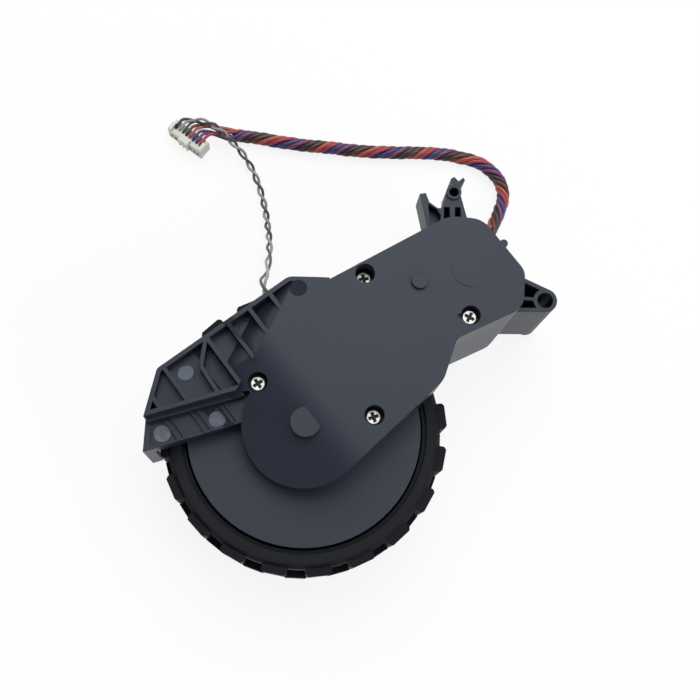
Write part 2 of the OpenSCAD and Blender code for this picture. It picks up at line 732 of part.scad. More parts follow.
// Spring hooks, beyond the wall beside the motor
hook_low = hook_top - hook_depth;
blade_pts = [motor_at + [-5.5, 13], motor_at + [-8.4, 27.9], motor_at + [-6.8, 28.2],
    motor_at + [-5.9, 25.7], motor_at + [-3.8, 24.1], motor_at + [-1.6, 23.9],
    motor_at + [-1, 13]];
tower_pts = [motor_at + [-4, 13], motor_at + [-3.4, 21.5], motor_at + [-1.4, 28],
    motor_at + [0.2, 30.3], motor_at + [0, 32.4], motor_at + [0.9, 32.9], motor_at + [2, 31.7],
    motor_at + [3.3, 32.8], motor_at + [3.7, 32], motor_at + [2.3, 30], motor_at + [2.4, 28],
    motor_at + [3.8, 22.2], motor_at + [6, 13]];
tower_pockets = [[-1.3, 20.4], [1.6, 20.4]];
knob_at = motor_at + [0.6, 28.4];
knob_r = 2;

module hooks() difference() {
    union() {
        translate([0, 0, hook_low]) linear_extrude(hook_depth) polygon(blade_pts);
        translate([0, 0, hook_low]) linear_extrude(hook_depth) polygon(tower_pts);
        translate([knob_at[0], knob_at[1], hook_low]) cylinder(r = knob_r, h = hook_depth + 0.6);
    }
    // The web between the hooks is low
    translate([0, 0, hook_top - 3]) linear_extrude(3 + over)
        polygon([motor_at + [-5.4, 14], motor_at + [-6.2, 25.2], motor_at + [-3.8, 23.6],
            motor_at + [-2.9, 22], motor_at + [-4, 14]]);
    for (p = tower_pockets) translate([motor_at[0] + p[0], motor_at[1] + p[1], hook_low + 2])
        linear_extrude(hook_depth) polygon([[-1, -4], [1, -4], [0.7, 4], [-0.7, 4]]);
    translate([knob_at[0], knob_at[1], hook_top - 4]) cylinder(r = knob_r - 0.75, h = 5 + over);
}

// Loom exit through the wall beside the motor
loom_angle = 60;
loom_z = 6;
loom_hole_r = loom_d / 2 + 0.25;

module gearbox_housing() color(cover_colour) difference() {
    union() {
        translate([0, 0, disc_z]) linear_extrude(floor_t) lobe();
        // Dust disc that closes the rim
        translate([0, 0, disc_z - disc_t]) cylinder(r = disc_r, h = disc_t, $fn = 120);
        translate([0, 0, bearing_low - 0.2])
            cylinder(r = carrier_r, h = disc_z - bearing_low);
        // Motor chamber beside the wheel
        difference() {
            linear_extrude(disc_z + 0.1) lobe();
            translate([0, 0, -over]) cylinder(r = wheel_clear_r + 0.4, h = disc_z + over, $fn = 120);
        }
        for (i = [0 : len(screw_at) - 1]) translate([screw_at[i][0], screw_at[i][1], disc_z])
            cylinder(r = post_r, h = screw_top[i] - head_t - cup_floor - disc_z);
        translate([0, 0, pivot_low]) linear_extrude(pivot_top - pivot_low) arm_plan();
        translate([pivot_at[0], pivot_at[1], pivot_low - pivot_step])
            cylinder(r = boss_out_r, h = pivot_top - pivot_low + pivot_step);
        hooks();
        switch_posts();
    }
    // The chamber beside the motor is hollow from below
    translate([0, 0, -over]) linear_extrude(motor_top + over) difference() {
        lobe(wall);
        circle(r = wheel_clear_r + 0.4 + wall, $fn = 120);
        translate(motor_at) circle(r = motor_r + 1.2);
    }
    // Motor pocket, its shaft hole and the motor screws
    at_motor(-over) cylinder(r = motor_r + fit_gap, h = motor_top + over, $fn = 96);
    at_motor(-over) cylinder(r = motor_r + 0.5, h = bottom_cap_t + over, $fn = 96);
    at_motor() cylinder(r = motor_boss_r + fit_gap, h = disc_z);
    at_motor(disc_z - over) cylinder(r = 4, h = floor_t + 2 * over);
    at_motor_screws() {
        cylinder(r = thread_r + 0.1, h = floor_z + over);
        translate([0, 0, floor_z - small_head_t]) cylinder(r = small_head_r + 0.1, h = 3);
    }
    // Bearing seat and shaft hole
    translate([0, 0, bearing_low - over]) cylinder(r = bearing_r, h = bearing_w + over);
    translate([0, 0, bearing_low]) cylinder(r = shaft_r + 1.5, h = 20);
    for (at = [first_at, second_at, third_at])
        translate([at[0], at[1], pin_low]) cylinder(r = pin_r, h = floor_t + over);
    for (i = [0 : len(screw_at) - 1])
        translate([screw_at[i][0], screw_at[i][1], screw_top[i] - head_t - thread_len])
            cylinder(r = thread_r, h = thread_len);
    // Pockets of the pivot arm, on both sides of its middle rib
    translate([0, 0, pivot_low + 4]) linear_extrude(pivot_top) difference() {
        arm_plan(arm_wall);
        translate(pivot_at) circle(r = boss_out_r);
        lobe();
        strip(motor_at + [8, -0.9], pivot_at, 0.9);
    }
    translate([pivot_at[0], pivot_at[1], pivot_low - pivot_step - over])
        cylinder(r = pivot_r, h = pivot_top - pivot_low + pivot_step + 2 * over);
    at_motor(loom_z) rotate([90, 0, loom_angle + 90]) cylinder(r = loom_hole_r, h = 25);
}

module motor_cap() color(cover_colour) at_motor() {
    cylinder(r = motor_r + 0.5 - fit_gap, h = bottom_cap_t, $fn = 96);
    // Ring that holds the board
    translate([0, 0, bottom_cap_t - 0.1]) difference() {
        cylinder(r = motor_r - 1, h = board_low - bottom_cap_t + 0.1);
        translate([0, 0, -over]) cylinder(r = motor_r - 2.2, h = 4 * over);
    }
}

// Drop switch, on the dust disc beside the gear chamber's flat wall
wall_angle = tangent_angle;
switch_along = 10.6;
switch_in = end_r + gap + switch_w / 2;
post_pitch = 6.5;

// Local frame of the switch: x away from the chamber, y along its wall
module at_switch(z = 0) translate([0, 0, z]) rotate(wall_angle)
    translate([switch_in, -switch_along, 0]) children();

module switch_posts() at_switch(disc_z - 0.1) for (side = [-1, 1])
    translate([-1.2, side * post_pitch / 2, 0]) cylinder(r = 0.9, h = switch_h);

module drop_switch() color(black_colour) difference() {
    at_switch(disc_z) translate([-switch_w / 2, -switch_len / 2, 0])
        cube([switch_w, switch_len, switch_h]);
    at_switch(disc_z - over) for (side = [-1, 1])
        translate([-1.2, side * post_pitch / 2, 0]) cylinder(r = 0.95, h = switch_h + 2 * over);
    // Guide of the button
    at_switch(disc_z + switch_h / 2) translate([switch_w / 2 - 2, 2, 0]) rotate([0, 90, 0])
        cylinder(r = 0.8 + running_gap, h = 3);
}

module switch_button() color([0.72, 0.16, 0.12])
    at_switch(disc_z + switch_h / 2) translate([switch_w / 2 - 2 + button_travel + 0.2, 2, 0])
        rotate([0, 90, 0]) cylinder(r = 0.8, h = 2 + 0.4);

// Cable routes: hand-chosen points along the middle of each cable
plug_at = [-32.6, 85.5];
plug_angle = 53.5;
plug_w = 3.8;
plug_h = 4.2;
loom_route = [[44.4, 46.6, 6], [46, 49.4, 6], [48, 52.8, 5.4], [50.4, 57.2, 4], [52.8, 62, 2.8],
    [54.8, 66.5, 2.2], [55.8, 70, 2.1], [55.6, 73.4, 2.1], [54, 76.6, 2.1], [51.4, 79.2, 2.1],
    [48, 81, 2.1], [44, 82, 2.1], [39.5, 82.8, 2.1], [34.5, 83.1, 2.1], [29.5, 83.1, 2.1],
    [24, 83, 2.1], [18, 83.1, 2.1], [12.5, 83.4, 2.1], [7, 84, 2.1], [1, 84.4, 2.1],
    [-4.5, 85, 2.1], [-10, 85.8, 2.1], [-15.5, 86.6, 2.1], [-20.5, 86.9, 2.1],
    [-24, 86.4, 2.1], [-27.3, 86.1, 2.1]];
pair_route = [[-33, 89.4, 2.7], [-31, 90, 4.2], [-28.4, 89.4, 5.4], [-26, 88.2, 5.8],
    [-23.6, 86.6, 5.8], [-21.2, 84.5, 5.1], [-18.3, 81.9, 3.6], [-15.7, 78.6, 2],
    [-13.7, 74.7, 1.35], [-12.2, 70.2, 1.3], [-11, 65.3, 1.3], [-10.1, 60, 1.5], [-9.7, 55.4, 2.8],
    [-9.6, 51.4, 6], [-9.7, 47.4, 10.6], [-9.9, 43.6, 15.6], [-10.2, 40.4, 20.6],
    [-10.7, 37.6, 25], [-10.4, 34.5, 27.9], [-8.6, 31.5, 28.7], [-6.4, 29, 28.6],
    [-5, 26.7, 28.5], [-5.4, 25, 28.5]];

// Catmull-Rom points through a route, each span cut into steps pieces
function spline(p, steps) = concat([for (i = [0 : len(p) - 2], k = [0 : steps - 1])
    let (t = k / steps, a = p[max(0, i - 1)], b = p[i], c = p[i + 1],
        d = p[min(len(p) - 1, i + 2)])
    0.5 * (2 * b + (c - a) * t + (2 * a - 5 * b + 4 * c - d) * t * t
        + (3 * b - a - 3 * c + d) * t * t * t)], [p[len(p) - 1]]);

// Eight-sided cable of diameter d along points; the ring vertices stand outside the circle
module cable(points, d) {
    sides = 8;
    n = len(points);
    r = d / 2 * 1.03;
    rings = [for (i = [0 : n - 1])
        let (t = unit(points[min(n - 1, i + 1)] - points[max(0, i - 1)]),
            side = unit(cross(t, [0, 0, 1])), up = cross(side, t))
        for (k = [0 : sides - 1])
            points[i] + r * (side * cos(k * 360 / sides) + up * sin(k * 360 / sides))];
    polyhedron(rings, concat([[for (k = [sides - 1 : -1 : 0]) k]],
        [for (i = [0 : n - 2], k = [0 : sides - 1]) let (m = (k + 1) % sides)
            [i * sides + k, i * sides + m, (i + 1) * sides + m, (i + 1) * sides + k]],
        [[for (k = [0 : sides - 1]) (n - 1) * sides + k]]));
}

module motor_loom() color([0.55, 0.20, 0.16]) cable(spline(loom_route, 3), loom_d);

module switch_pair() color([0.62, 0.62, 0.64]) cable(spline(pair_route, 4), pair_d);

// Eight-way plug; x is the way the wires leave it, y its long side
plug_ways = 8;
module loom_plug() color(white_colour) translate([plug_at[0], plug_at[1], 0]) rotate(plug_angle)
    difference() {
        union() {
            translate([-plug_w / 2, -plug_len / 2, 0]) cube([plug_w, plug_len, plug_h]);
            // Guide ribs and the latch on top
            for (y = [-plug_len / 2, plug_len / 2 - 1]) translate([-plug_w / 2, y, plug_h - 0.1])
                cube([2.6, 1, 1.1]);
            translate([-plug_w / 2 - 0.8, -1.6, 1]) cube([2, 3.2, plug_h - 0.2]);
        }
        // Contact windows in the front, below the latch
        for (k = [0 : plug_ways - 1]) translate([-plug_w / 2 - over,
            (k - (plug_ways - 1) / 2) * 1.3 - 0.4, 0.9]) cube([1.6 + over, 0.8, 1.4]);
    }

gearbox_cover();
gearbox_housing();
motor_cap();
cover_screws();
motor_can();
motor_end_cap();
motor_terminals();
motor_screws();
encoder_board();
motor_shaft();
motor_pinion();
encoder_magnet();
gear_pins();
first_gear();
second_gear();
third_gear();
output_gear();
wheel_shaft();
wheel_bearing();
shaft_bush();
wheel_rim();
wheel_tyre();
wheel_screw();
hub_cap();
drop_switch();
switch_button();
motor_loom();
switch_pair();
loom_plug();
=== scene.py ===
"""Looks of a robot vacuum cleaner's wheel module: plastics, rubber, metal, its twisted wires, the table and the light.

The wheel axis is Z, the gearbox cover faces up, and all lengths are metres.
"""
import math

import bmesh
import bpy
from mathutils import Matrix, Vector


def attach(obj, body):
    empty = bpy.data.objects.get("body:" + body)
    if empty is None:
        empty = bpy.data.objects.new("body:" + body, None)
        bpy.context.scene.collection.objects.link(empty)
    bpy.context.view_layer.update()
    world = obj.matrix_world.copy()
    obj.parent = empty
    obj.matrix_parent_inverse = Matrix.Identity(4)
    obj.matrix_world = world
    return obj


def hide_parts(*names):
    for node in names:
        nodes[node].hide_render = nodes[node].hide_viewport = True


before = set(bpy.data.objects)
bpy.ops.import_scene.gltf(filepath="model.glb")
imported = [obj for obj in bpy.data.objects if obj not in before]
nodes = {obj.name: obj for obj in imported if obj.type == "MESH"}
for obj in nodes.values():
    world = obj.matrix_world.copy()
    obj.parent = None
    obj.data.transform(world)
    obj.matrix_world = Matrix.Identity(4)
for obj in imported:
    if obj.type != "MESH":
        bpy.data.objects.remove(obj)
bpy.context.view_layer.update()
scene = bpy.context.scene

MM = 0.001


def mm(points):
    return [Vector(p) * MM for p in points]


def srgb(red, green, blue):
    """A colour given as the eye sees it, 0 to 255, in the linear values that shaders take."""
    def linear(value):
        share = value / 255
        return share / 12.92 if share <= 0.04045 else ((share + 0.055) / 1.055) ** 2.4
    return (linear(red), linear(green), linear(blue), 1.0)


# Camera: above the wheel, tipped towards the top of the table
CAMERA_PLACE = Vector((-5.324, -40.355, 286.0)) * MM
# The table's upward direction as the camera sees it: right, up, towards the camera
UP_IN_CAMERA = Vector((70, 250, 1080)).normalized()
FOCAL_PIXELS = 1080
FRAME_PIXELS = 700
SENSOR_WIDTH = 36.0


def set_camera():
    lens = bpy.data.cameras.new("camera")
    lens.sensor_width = SENSOR_WIDTH
    lens.lens = SENSOR_WIDTH * FOCAL_PIXELS / FRAME_PIXELS
    lens.clip_start = 0.01
    lens.clip_end = 20
    across = (Vector((1, 0, 0)) - UP_IN_CAMERA.x * UP_IN_CAMERA).normalized()
    along = UP_IN_CAMERA.cross(across)
    # Rows of this matrix are the table's axes, seen from the camera
    turn = Matrix((across, along, UP_IN_CAMERA))
    camera = bpy.data.objects.new("camera", lens)
    camera.matrix_world = Matrix.Translation(CAMERA_PLACE) @ turn.to_4x4()
    scene.collection.objects.link(camera)
    scene.camera = camera


set_camera()

# Routes of the two cables, as in the part's source
LOOM_ROUTE = mm([
    (44.4, 46.6, 6), (46, 49.4, 6), (48, 52.8, 5.4), (50.4, 57.2, 4), (52.8, 62, 2.8),
    (54.8, 66.5, 2.2), (55.8, 70, 2.1), (55.6, 73.4, 2.1), (54, 76.6, 2.1), (51.4, 79.2, 2.1),
    (48, 81, 2.1), (44, 82, 2.1), (39.5, 82.8, 2.1), (34.5, 83.1, 2.1), (29.5, 83.1, 2.1),
    (24, 83, 2.1), (18, 83.1, 2.1), (12.5, 83.4, 2.1), (7, 84, 2.1), (1, 84.4, 2.1),
    (-4.5, 85, 2.1), (-10, 85.8, 2.1), (-15.5, 86.6, 2.1), (-20.5, 86.9, 2.1),
    (-24, 86.4, 2.1), (-27.3, 86.1, 2.1)])
PAIR_ROUTE = mm([
    (-33, 89.4, 2.7), (-31, 90, 4.2), (-28.4, 89.4, 5.4), (-26, 88.2, 5.8),
    (-23.6, 86.6, 5.8), (-21.2, 84.5, 5.1), (-18.3, 81.9, 3.6), (-15.7, 78.6, 2),
    (-13.7, 74.7, 1.35), (-12.2, 70.2, 1.3), (-11, 65.3, 1.3), (-10.1, 60, 1.5), (-9.7, 55.4, 2.8),
    (-9.6, 51.4, 6), (-9.7, 47.4, 10.6), (-9.9, 43.6, 15.6), (-10.2, 40.4, 20.6),
    (-10.7, 37.6, 25), (-10.4, 34.5, 27.9), (-8.6, 31.5, 28.7), (-6.4, 29, 28.6),
    (-5, 26.7, 28.5), (-5.4, 25, 28.5)])

# The plug: its middle, the direction in which the wires leave it, and its contact rows
PLUG_MIDDLE = Vector((-32.6, 85.5, 0)) * MM
PLUG_OUT = Vector((math.cos(math.radians(53.5)), math.sin(math.radians(53.5)), 0))
PLUG_ALONG = Vector((-PLUG_OUT.y, PLUG_OUT.x, 0))
PLUG_HALF_WIDTH = 1.9 * MM
PLUG_HEIGHT = 4.2 * MM
CONTACT_PITCH = 1.2 * MM


def plug_point(index, out, height):
    """A point over contact number index, 0 to 7 from the plug's upper left end."""
    along = (3.5 - index) * CONTACT_PITCH
    return PLUG_MIDDLE + PLUG_OUT * out + PLUG_ALONG * along + Vector((0, 0, height))


def smooth_route(points, steps=12):
    """Catmull-Rom points through a route."""
    found = []
    last = len(points) - 1
    for i in range(last):
        a, b, c, d = points[max(0, i - 1)], points[i], points[i + 1], points[min(last, i + 2)]
        for k in range(steps):
            t = k / steps
            found.append(0.5 * (2 * b + (c - a) * t + (2 * a - 5 * b + 4 * c - d) * t ** 2
                                + (3 * b - a - 3 * c + d) * t ** 3))
    return found + [points[-1]]


def even_points(points, spacing):
    """Points at even distances along a line."""
    lengths = [0.0]
    for a, b in zip(points, points[1:]):
        lengths.append(lengths[-1] + (b - a).length)
    count = max(2, round(lengths[-1] / spacing))
    found, i = [], 0
    for k in range(count + 1):
        want = lengths[-1] * k / count
        while i < len(points) - 2 and lengths[i + 1] < want:
            i += 1
        share = (want - lengths[i]) / (lengths[i + 1] - lengths[i])
        found.append(points[i].lerp(points[i + 1], min(1, share)))
    return found, lengths[-1]


def hermite(start, start_way, end, end_way, steps):
    """Smooth points from start to end, leaving and arriving along the two ways."""
    found = []
    for k in range(1, steps + 1):
        t = k / steps
        found.append(start * (2 * t ** 3 - 3 * t ** 2 + 1) + start_way * (t ** 3 - 2 * t ** 2 + t)
                     + end * (3 * t ** 2 - 2 * t ** 3) + end_way * (t ** 3 - t ** 2))
    return found


def twisted_wire(path, reach, pitch, turn, spacing):
    """Middle line of one wire that winds round a path at distance reach."""
    found = []
    gone = 0.0
    for i, point in enumerate(path):
        ahead = path[min(i + 1, len(path) - 1)] - path[max(i - 1, 0)]
        along = ahead.normalized()
        side = along.cross(Vector((0, 0, 1))).normalized()
        lift = side.cross(along)
        # Steep stretches are twisted less
        gone += spacing * max(0.12, (ahead.xy.length / ahead.length) ** 2.5)
        angle = turn + 2 * math.pi * gone / pitch + 0.4 * math.sin(gone * 230)
        # The wires lie a little loosely
        loose = reach * (1 + 0.05 * math.sin(gone * 410 + turn * 3))
        found.append(point + (side * math.cos(angle) + lift * math.sin(angle)) * loose)
    return found


# A wire that thins does so over this many points
TAPER_POINTS = 6


def tube_mesh(points, radius, name, end_share=1.0):
    """A round wire along points, closed at both ends, as a mesh; it thins to end_share."""
    curve = bpy.data.curves.new(name, "CURVE")
    curve.dimensions = "3D"
    curve.bevel_depth = radius
    curve.bevel_resolution = 3
    curve.use_fill_caps = True
    spline = curve.splines.new("POLY")
    spline.points.add(len(points) - 1)
    for i, (place, point) in enumerate(zip(spline.points, points)):
        place.co = (*point, 1)
        place.radius = 1 + (end_share - 1) * min(1, i / TAPER_POINTS)
    holder = bpy.data.objects.new(name, curve)
    scene.collection.objects.link(holder)
    bpy.context.view_layer.update()
    seen = holder.evaluated_get(bpy.context.evaluated_depsgraph_get())
    mesh = bpy.data.meshes.new_from_object(seen)
    bpy.data.objects.remove(holder)
    return mesh


def bundle(name, wires, radius, colours, end_share=1.0):
    """One piece out of several wires, each in its own colour."""
    form = bmesh.new()
    for index, wire in enumerate(wires):
        before = len(form.faces)
        form.from_mesh(tube_mesh(wire, radius, name + "_wire", end_share))
        form.faces.ensure_lookup_table()
        for face in form.faces[before:]:
            face.material_index = index
            face.smooth = True
    bmesh.ops.recalc_face_normals(form, faces=form.faces)
    mesh = bpy.data.meshes.new(name)
    form.to_mesh(mesh)
    form.free()
    for colour in colours:
        mesh.materials.append(colour)
    piece = bpy.data.objects.new(name, mesh)
    scene.collection.objects.link(piece)
    return piece


# Shader groups


def new_group(name, inputs, outputs):
    group = bpy.data.node_groups.new(name, "ShaderNodeTree")
    for label, kind, value in inputs:
        socket = group.interface.new_socket(label, in_out="INPUT", socket_type=kind)
        socket.default_value = value
    for label, kind in outputs:
        group.interface.new_socket(label, in_out="OUTPUT", socket_type=kind)
    start = group.nodes.new("NodeGroupInput")
    end = group.nodes.new("NodeGroupOutput")
    return group, start, end


def moulded_grain():
    """Fine grain of moulded or rubber parts: a changing colour, roughness and height."""
    group, start, end = new_group(
        "moulded_grain",
        [("Colour", "NodeSocketColor", (0.1, 0.1, 0.1, 1)), ("Mottle", "NodeSocketFloat", 0.1),
         ("Roughness", "NodeSocketFloat", 0.5), ("Grain size", "NodeSocketFloat", 3000.0),
         ("Mottle size", "NodeSocketFloat", 70.0)],
        [("Colour", "NodeSocketColor"), ("Roughness", "NodeSocketFloat"),
         ("Height", "NodeSocketFloat")])
    make, link = group.nodes.new, group.links.new
    place = make("ShaderNodeTexCoord")
    grain = make("ShaderNodeTexNoise")
    grain.inputs["Detail"].default_value = 3
    link(place.outputs["Object"], grain.inputs["Vector"])
    link(start.outputs["Grain size"], grain.inputs["Scale"])
    cloud = make("ShaderNodeTexNoise")
    link(start.outputs["Mottle size"], cloud.inputs["Scale"])
    cloud.inputs["Detail"].default_value = 4
    link(place.outputs["Object"], cloud.inputs["Vector"])
    # Brightness runs from 1 - mottle to 1 + mottle
    spread = make("ShaderNodeMath")
    spread.operation = "MULTIPLY_ADD"
    spread.inputs[2].default_value = 1.0
    centred = make("ShaderNodeMath")
    centred.operation = "MULTIPLY_ADD"
    centred.inputs[1].default_value = 2.0
    centred.inputs[2].default_value = -1.0
    link(cloud.outputs["Fac"], centred.inputs[0])
    link(centred.outputs[0], spread.inputs[0])
    link(start.outputs["Mottle"], spread.inputs[1])
    scaled = make("ShaderNodeVectorMath")
    scaled.operation = "SCALE"
    link(start.outputs["Colour"], scaled.inputs[0])
    link(spread.outputs[0], scaled.inputs["Scale"])
    link(scaled.outputs[0], end.inputs["Colour"])
    rough = make("ShaderNodeMath")
    rough.operation = "MULTIPLY"
    link(start.outputs["Roughness"], rough.inputs[0])
    link(spread.outputs[0], rough.inputs[1])
    link(rough.outputs[0], end.inputs["Roughness"])
    link(grain.outputs["Fac"], end.inputs["Height"])
    return group


grain_group = moulded_grain()
SHEEN_TINT = (0.84, 0.92, 1.0, 1.0)


def grained(name, colour, roughness, mottle=0.06, grain_size=2600, depth=0.00002, strength=0.25,
            edge=0.00025, specular=0.5, mottle_size=70):
    """Moulded plastic or rubber with softened edges."""
    material = bpy.data.materials.new(name)
    material.use_nodes = True
    tree = material.node_tree
    shader = tree.nodes["Principled BSDF"]
    shader.inputs["Specular IOR Level"].default_value = specular
    shader.inputs["Specular Tint"].default_value = SHEEN_TINT
    group = tree.nodes.new("ShaderNodeGroup")
    group.node_tree = grain_group
    group.inputs["Colour"].default_value = colour
    group.inputs["Mottle"].default_value = mottle
    group.inputs["Roughness"].default_value = roughness
    group.inputs["Grain size"].default_value = grain_size
    group.inputs["Mottle size"].default_value = mottle_size
    bump = tree.nodes.new("ShaderNodeBump")
    bump.inputs["Strength"].default_value = strength
    bump.inputs["Distance"].default_value = depth
    tree.links.new(group.outputs["Colour"], shader.inputs["Base Color"])
    tree.links.new(group.outputs["Roughness"], shader.inputs["Roughness"])
    tree.links.new(group.outputs["Height"], bump.inputs["Height"])
    if edge:
        round_edge = tree.nodes.new("ShaderNodeBevel")
        round_edge.samples = 4
        round_edge.inputs["Radius"].default_value = edge
        tree.links.new(round_edge.outputs["Normal"], bump.inputs["Normal"])
    tree.links.new(bump.outputs["Normal"], shader.inputs["Normal"])
    return material


def smooth(name, colour, roughness, metallic=0.0, edge=0.0, coat=0.0):
    """Plain surface: metal, glossy plastic or wire insulation."""
    material = bpy.data.materials.new(name)
    material.use_nodes = True
    tree = material.node_tree
    shader = tree.nodes["Principled BSDF"]
    shader.inputs["Base Color"].default_value = colour
    shader.inputs["Roughness"].default_value = roughness
    shader.inputs["Metallic"].default_value = metallic
    shader.inputs["Coat Weight"].default_value = coat
    if edge:
        round_edge = tree.nodes.new("ShaderNodeBevel")
        round_edge.samples = 4
        round_edge.inputs["Radius"].default_value = edge
        tree.links.new(round_edge.outputs["Normal"], shader.inputs["Normal"])
    return material


COVER_COLOUR = srgb(37, 42, 54)
HOUSING_COLOUR = srgb(42, 46, 57)

cover_plastic = grained("cover_plastic", COVER_COLOUR, 0.42, specular=0.32)
housing_plastic = grained("housing_plastic", HOUSING_COLOUR, 0.45, specular=0.32)


# The cover's face falls away from its flat part against this direction
FALL_ANGLE = math.radians(20)
FALL_WAY = Vector((math.cos(math.radians(39)), math.sin(math.radians(39)), 0))
FLAT_TOP = 38 * MM
BEND_MIDDLE = 3.3 * MM
# Stretch over which its look runs from the slope into the flat part
SOFT_BEND = (-3 * MM, 8.5 * MM)
# Heights that count as the face: from 0.7 mm below it, where the wing starts, to 0.25 above
FACE_SINK = 0.22 * MM
FACE_REACH = 0.47 * MM


def soften_fall(material):
    """Lets the cover's flat face run into its slope softly, and leaves what stands on them."""
    tree = material.node_tree

    def node(kind, operation, *values):
        made = tree.nodes.new(kind)
        made.operation = operation
        for index, value in enumerate(values):
            if isinstance(value, bpy.types.NodeSocket):
                tree.links.new(value, made.inputs[index])
            else:
                made.inputs[index].default_value = value
        return made

    def maths(operation, *values):
        return node("ShaderNodeMath", operation, *values).outputs[0]

    place = tree.nodes.new("ShaderNodeTexCoord").outputs["Object"]
    along = node("ShaderNodeVectorMath", "DOT_PRODUCT", place, FALL_WAY).outputs["Value"]
    height = node("ShaderNodeVectorMath", "DOT_PRODUCT", place, (0, 0, 1)).outputs["Value"]
    lean = tree.nodes.new("ShaderNodeMapRange")
    lean.interpolation_type = "SMOOTHSTEP"
    lean.inputs["From Min"].default_value, lean.inputs["From Max"].default_value = SOFT_BEND
    lean.inputs["To Min"].default_value = math.tan(FALL_ANGLE)
    lean.inputs["To Max"].default_value = 0.0
    tree.links.new(along, lean.inputs["Value"])
    tilted = node("ShaderNodeVectorMath", "SCALE", -FALL_WAY)
    tree.links.new(lean.outputs["Result"], tilted.inputs["Scale"])
    raised = node("ShaderNodeVectorMath", "ADD", tilted.outputs[0], (0, 0, 1))
    soft = node("ShaderNodeVectorMath", "NORMALIZE", raised.outputs[0])
    turned = tree.nodes.new("ShaderNodeVectorTransform")
    turned.vector_type = "NORMAL"
    turned.convert_from, turned.convert_to = "OBJECT", "WORLD"
    tree.links.new(soft.outputs[0], turned.inputs[0])
    drop = maths("MULTIPLY", maths("MAXIMUM", maths("SUBTRACT", BEND_MIDDLE, along), 0.0),
                 math.tan(FALL_ANGLE))
    face = maths("SUBTRACT", FLAT_TOP - FACE_SINK, drop)
    on_face = maths("LESS_THAN", maths("ABSOLUTE", maths("SUBTRACT", height, face)), FACE_REACH)
    normal = tree.nodes.new("ShaderNodeNewGeometry").outputs["True Normal"]
    upward = node("ShaderNodeVectorMath", "DOT_PRODUCT", normal, (0, 0, 1)).outputs["Value"]
    share = maths("MULTIPLY", on_face, maths("GREATER_THAN", upward, 0.9))
    bump = next(item for item in tree.nodes if item.type == "BUMP")
    edge = bump.inputs["Normal"].links[0].from_socket
    mix = tree.nodes.new("ShaderNodeMix")
    mix.data_type = "VECTOR"
    tree.links.new(share, mix.inputs["Factor"])
    tree.links.new(edge, mix.inputs["A"])
    tree.links.new(turned.outputs[0], mix.inputs["B"])
    tree.links.new(mix.outputs["Result"], bump.inputs["Normal"])


soften_fall(cover_plastic)
tread_rubber = grained("tread_rubber", srgb(22, 23, 29), 0.62, mottle=0.12, grain_size=1500,
                       depth=0.00004, strength=0.35, specular=0.2)


def darken_tread_tone_and_shade(material, colour):
    """Sinks a tyre's colour to another one between its sidewall and its tread blocks: partly painted shade on and
    between the blocks, partly the sidewall's lighter dusty tone.
    """
    tree = material.node_tree
    group = next(node for node in tree.nodes if node.type == "GROUP")
    place = tree.nodes.new("ShaderNodeTexCoord")
    flat = tree.nodes.new("ShaderNodeVectorMath")
    flat.operation = "MULTIPLY"
    flat.inputs[1].default_value = (1, 1, 0)
    tree.links.new(place.outputs["Object"], flat.inputs[0])
    reach = tree.nodes.new("ShaderNodeVectorMath")
    reach.operation = "LENGTH"
    tree.links.new(flat.outputs[0], reach.inputs[0])
    share = tree.nodes.new("ShaderNodeMapRange")
    share.inputs["From Min"].default_value = SIDEWALL_END
    share.inputs["From Max"].default_value = TREAD_START
    tree.links.new(reach.outputs["Value"], share.inputs["Value"])
    mix = tree.nodes.new("ShaderNodeMix")
    mix.data_type = "RGBA"
    mix.inputs["A"].default_value = group.inputs["Colour"].default_value
    mix.inputs["B"].default_value = colour
    tree.links.new(share.outputs["Result"], mix.inputs["Factor"])
    tree.links.new(mix.outputs["Result"], group.inputs["Colour"])


# Distances from the wheel's axis between which the rubber turns darker
SIDEWALL_END = 31.5 * MM
TREAD_START = 33.0 * MM
# The darker tread is partly painted shade between its blocks, partly rubber without the sidewall's dust
darken_tread_tone_and_shade(tread_rubber, srgb(10, 11, 16))
rim_plastic = grained("rim_plastic", srgb(9, 9, 13), 0.4, specular=0.12)
# The ejector marks are real; their lighter, mottled colour is a painted sheen of their frosted finish
mark_plastic = grained("mark_plastic", srgb(84, 89, 101), 0.45, mottle=1.6, mottle_size=700)
dark_mark_plastic = grained("dark_mark_plastic", srgb(30, 34, 45), 0.6, specular=0.15)
# Near-black metal for plates that paint the shade into the screw recesses
painted_recess_shade = smooth("painted_recess_shade", srgb(30, 30, 31), 0.5, 0.6)
black_plastic = grained("black_plastic", srgb(26, 26, 28), 0.45)
gear_nylon = grained("gear_nylon", srgb(226, 222, 206), 0.42, mottle=0.02, edge=0.0001)
plug_nylon = grained("plug_nylon", srgb(206, 208, 194), 0.4, mottle=0.03, edge=0.00018)
bright_steel = smooth("bright_steel", srgb(206, 205, 202), 0.3, 1.0, edge=0.0003)
screw_steel = smooth("screw_steel", srgb(200, 199, 196), 0.42, 1.0, edge=0.0003)
can_steel = smooth("can_steel", srgb(190, 190, 194), 0.32, 1.0, edge=0.0002)
brass = smooth("brass", srgb(214, 178, 98), 0.28, 1.0)
bronze = smooth("bronze", srgb(160, 116, 74), 0.5, 1.0)
board_green = smooth("board_green", srgb(30, 84, 52), 0.4, coat=0.2)
button_red = smooth("button_red", srgb(176, 44, 36), 0.4, edge=0.0002)

WIRE_SHEEN = 0.36
wire_colours = {
    name: smooth("wire_" + name, srgb(*colour), WIRE_SHEEN)
    for name, colour in (
        ("brown", (80, 50, 48)), ("orange", (164, 80, 68)), ("blue", (50, 58, 116)),
        ("purple", (112, 60, 90)), ("red", (150, 52, 68)), ("black", (50, 44, 47)),
        ("grey", (146, 145, 144)), ("dark_grey", (74, 72, 74)))}

